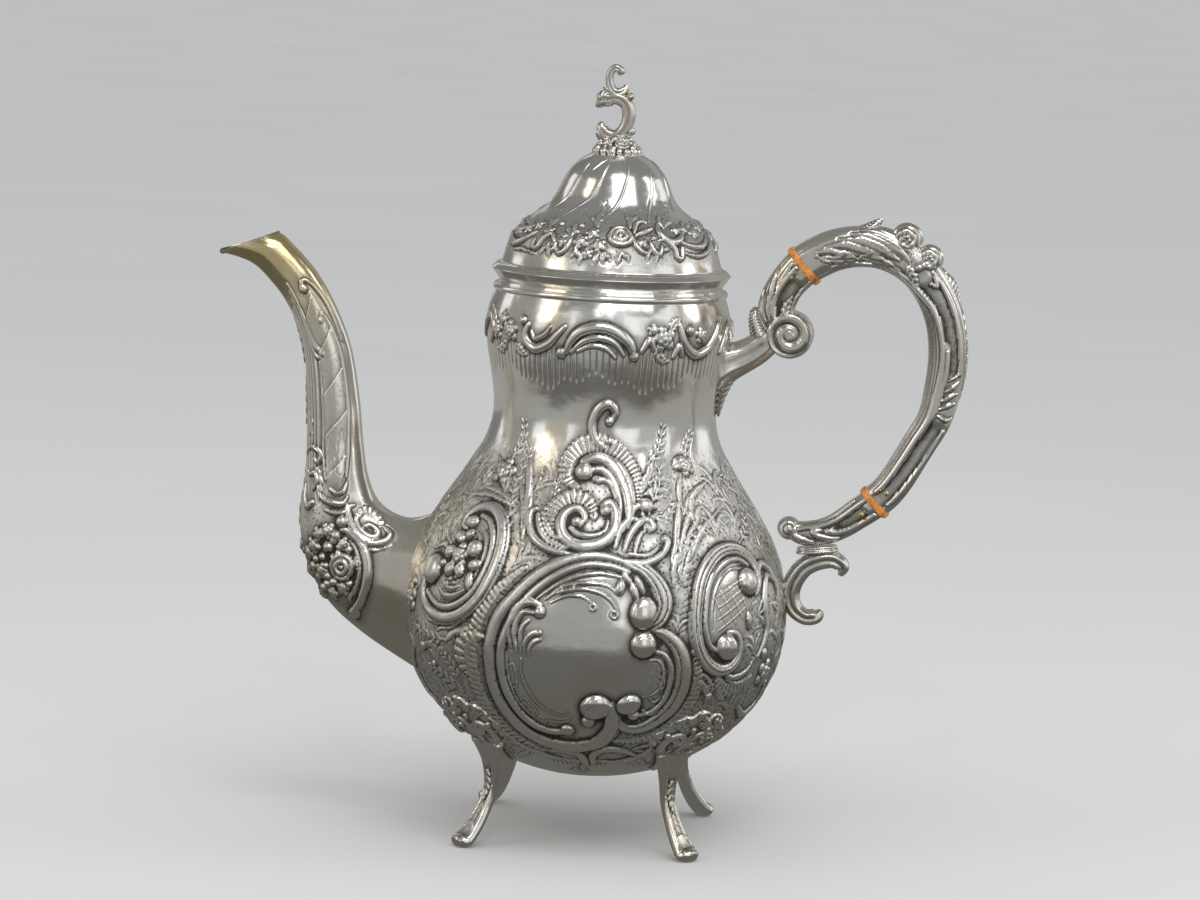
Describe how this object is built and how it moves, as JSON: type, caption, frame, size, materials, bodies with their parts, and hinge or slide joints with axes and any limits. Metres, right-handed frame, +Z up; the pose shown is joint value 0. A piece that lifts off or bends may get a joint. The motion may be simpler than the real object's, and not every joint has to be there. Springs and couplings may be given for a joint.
{
  "type": "coffee pot",
  "caption": "Pear-shaped silver coffee pot on scroll feet, with a high curved spout, a lift-off domed lid with an openwork finial and an insulated scroll handle.",
  "frame": {"origin": "on the table, under the middle of the whole outline; the body's own axis stands at x = +6.5 mm, because the spout reaches out further than the handle", "axes": "+Z up, -X towards the spout, +X towards the handle, -Y towards the viewer"},
  "size_m": [0.2587, 0.1312, 0.265],
  "materials": {
    "silver_body": "old polished silver, chased, with dark oxide left in the recesses",
    "silver_spout": "old polished silver, warmer and slightly yellow towards the mouth",
    "silver_cast": "cast and chased silver, bright on the high places and dark in the recesses",
    "insulator": "polished orange-brown insulating disc",
    "pins": "dull yellow metal"
  },
  "bodies": {
    "pot": {"body_shell": "silver_body", "mouth_wire": "silver_body", "spout": "silver_spout", "spout_lip": "silver_spout", "foot_front_left": "silver_cast", "foot_front_right": "silver_cast", "foot_back_left": "silver_cast", "foot_back_right": "silver_cast", "upper_bracket": "silver_cast", "upper_socket": "silver_cast", "upper_insulator": "insulator", "handle_grip": "silver_cast", "lower_insulator": "insulator", "lower_socket": "silver_cast", "lower_collar": "silver_cast", "lower_bracket": "silver_cast", "handle_pins": "pins"},
    "lid": {"lid_dome": "silver_body", "lid_flange": "silver_body", "lid_bezel": "silver_body", "finial_collar": "silver_cast", "finial": "silver_cast", "finial_washer": "silver_cast", "finial_nut": "pins"}
  },
  "joints": [
    {"name": "lid_lift", "type": "slide", "parent": "pot", "child": "lid", "axis": [0, 0, 1], "range_m": [0, 0.04]}
  ]
}
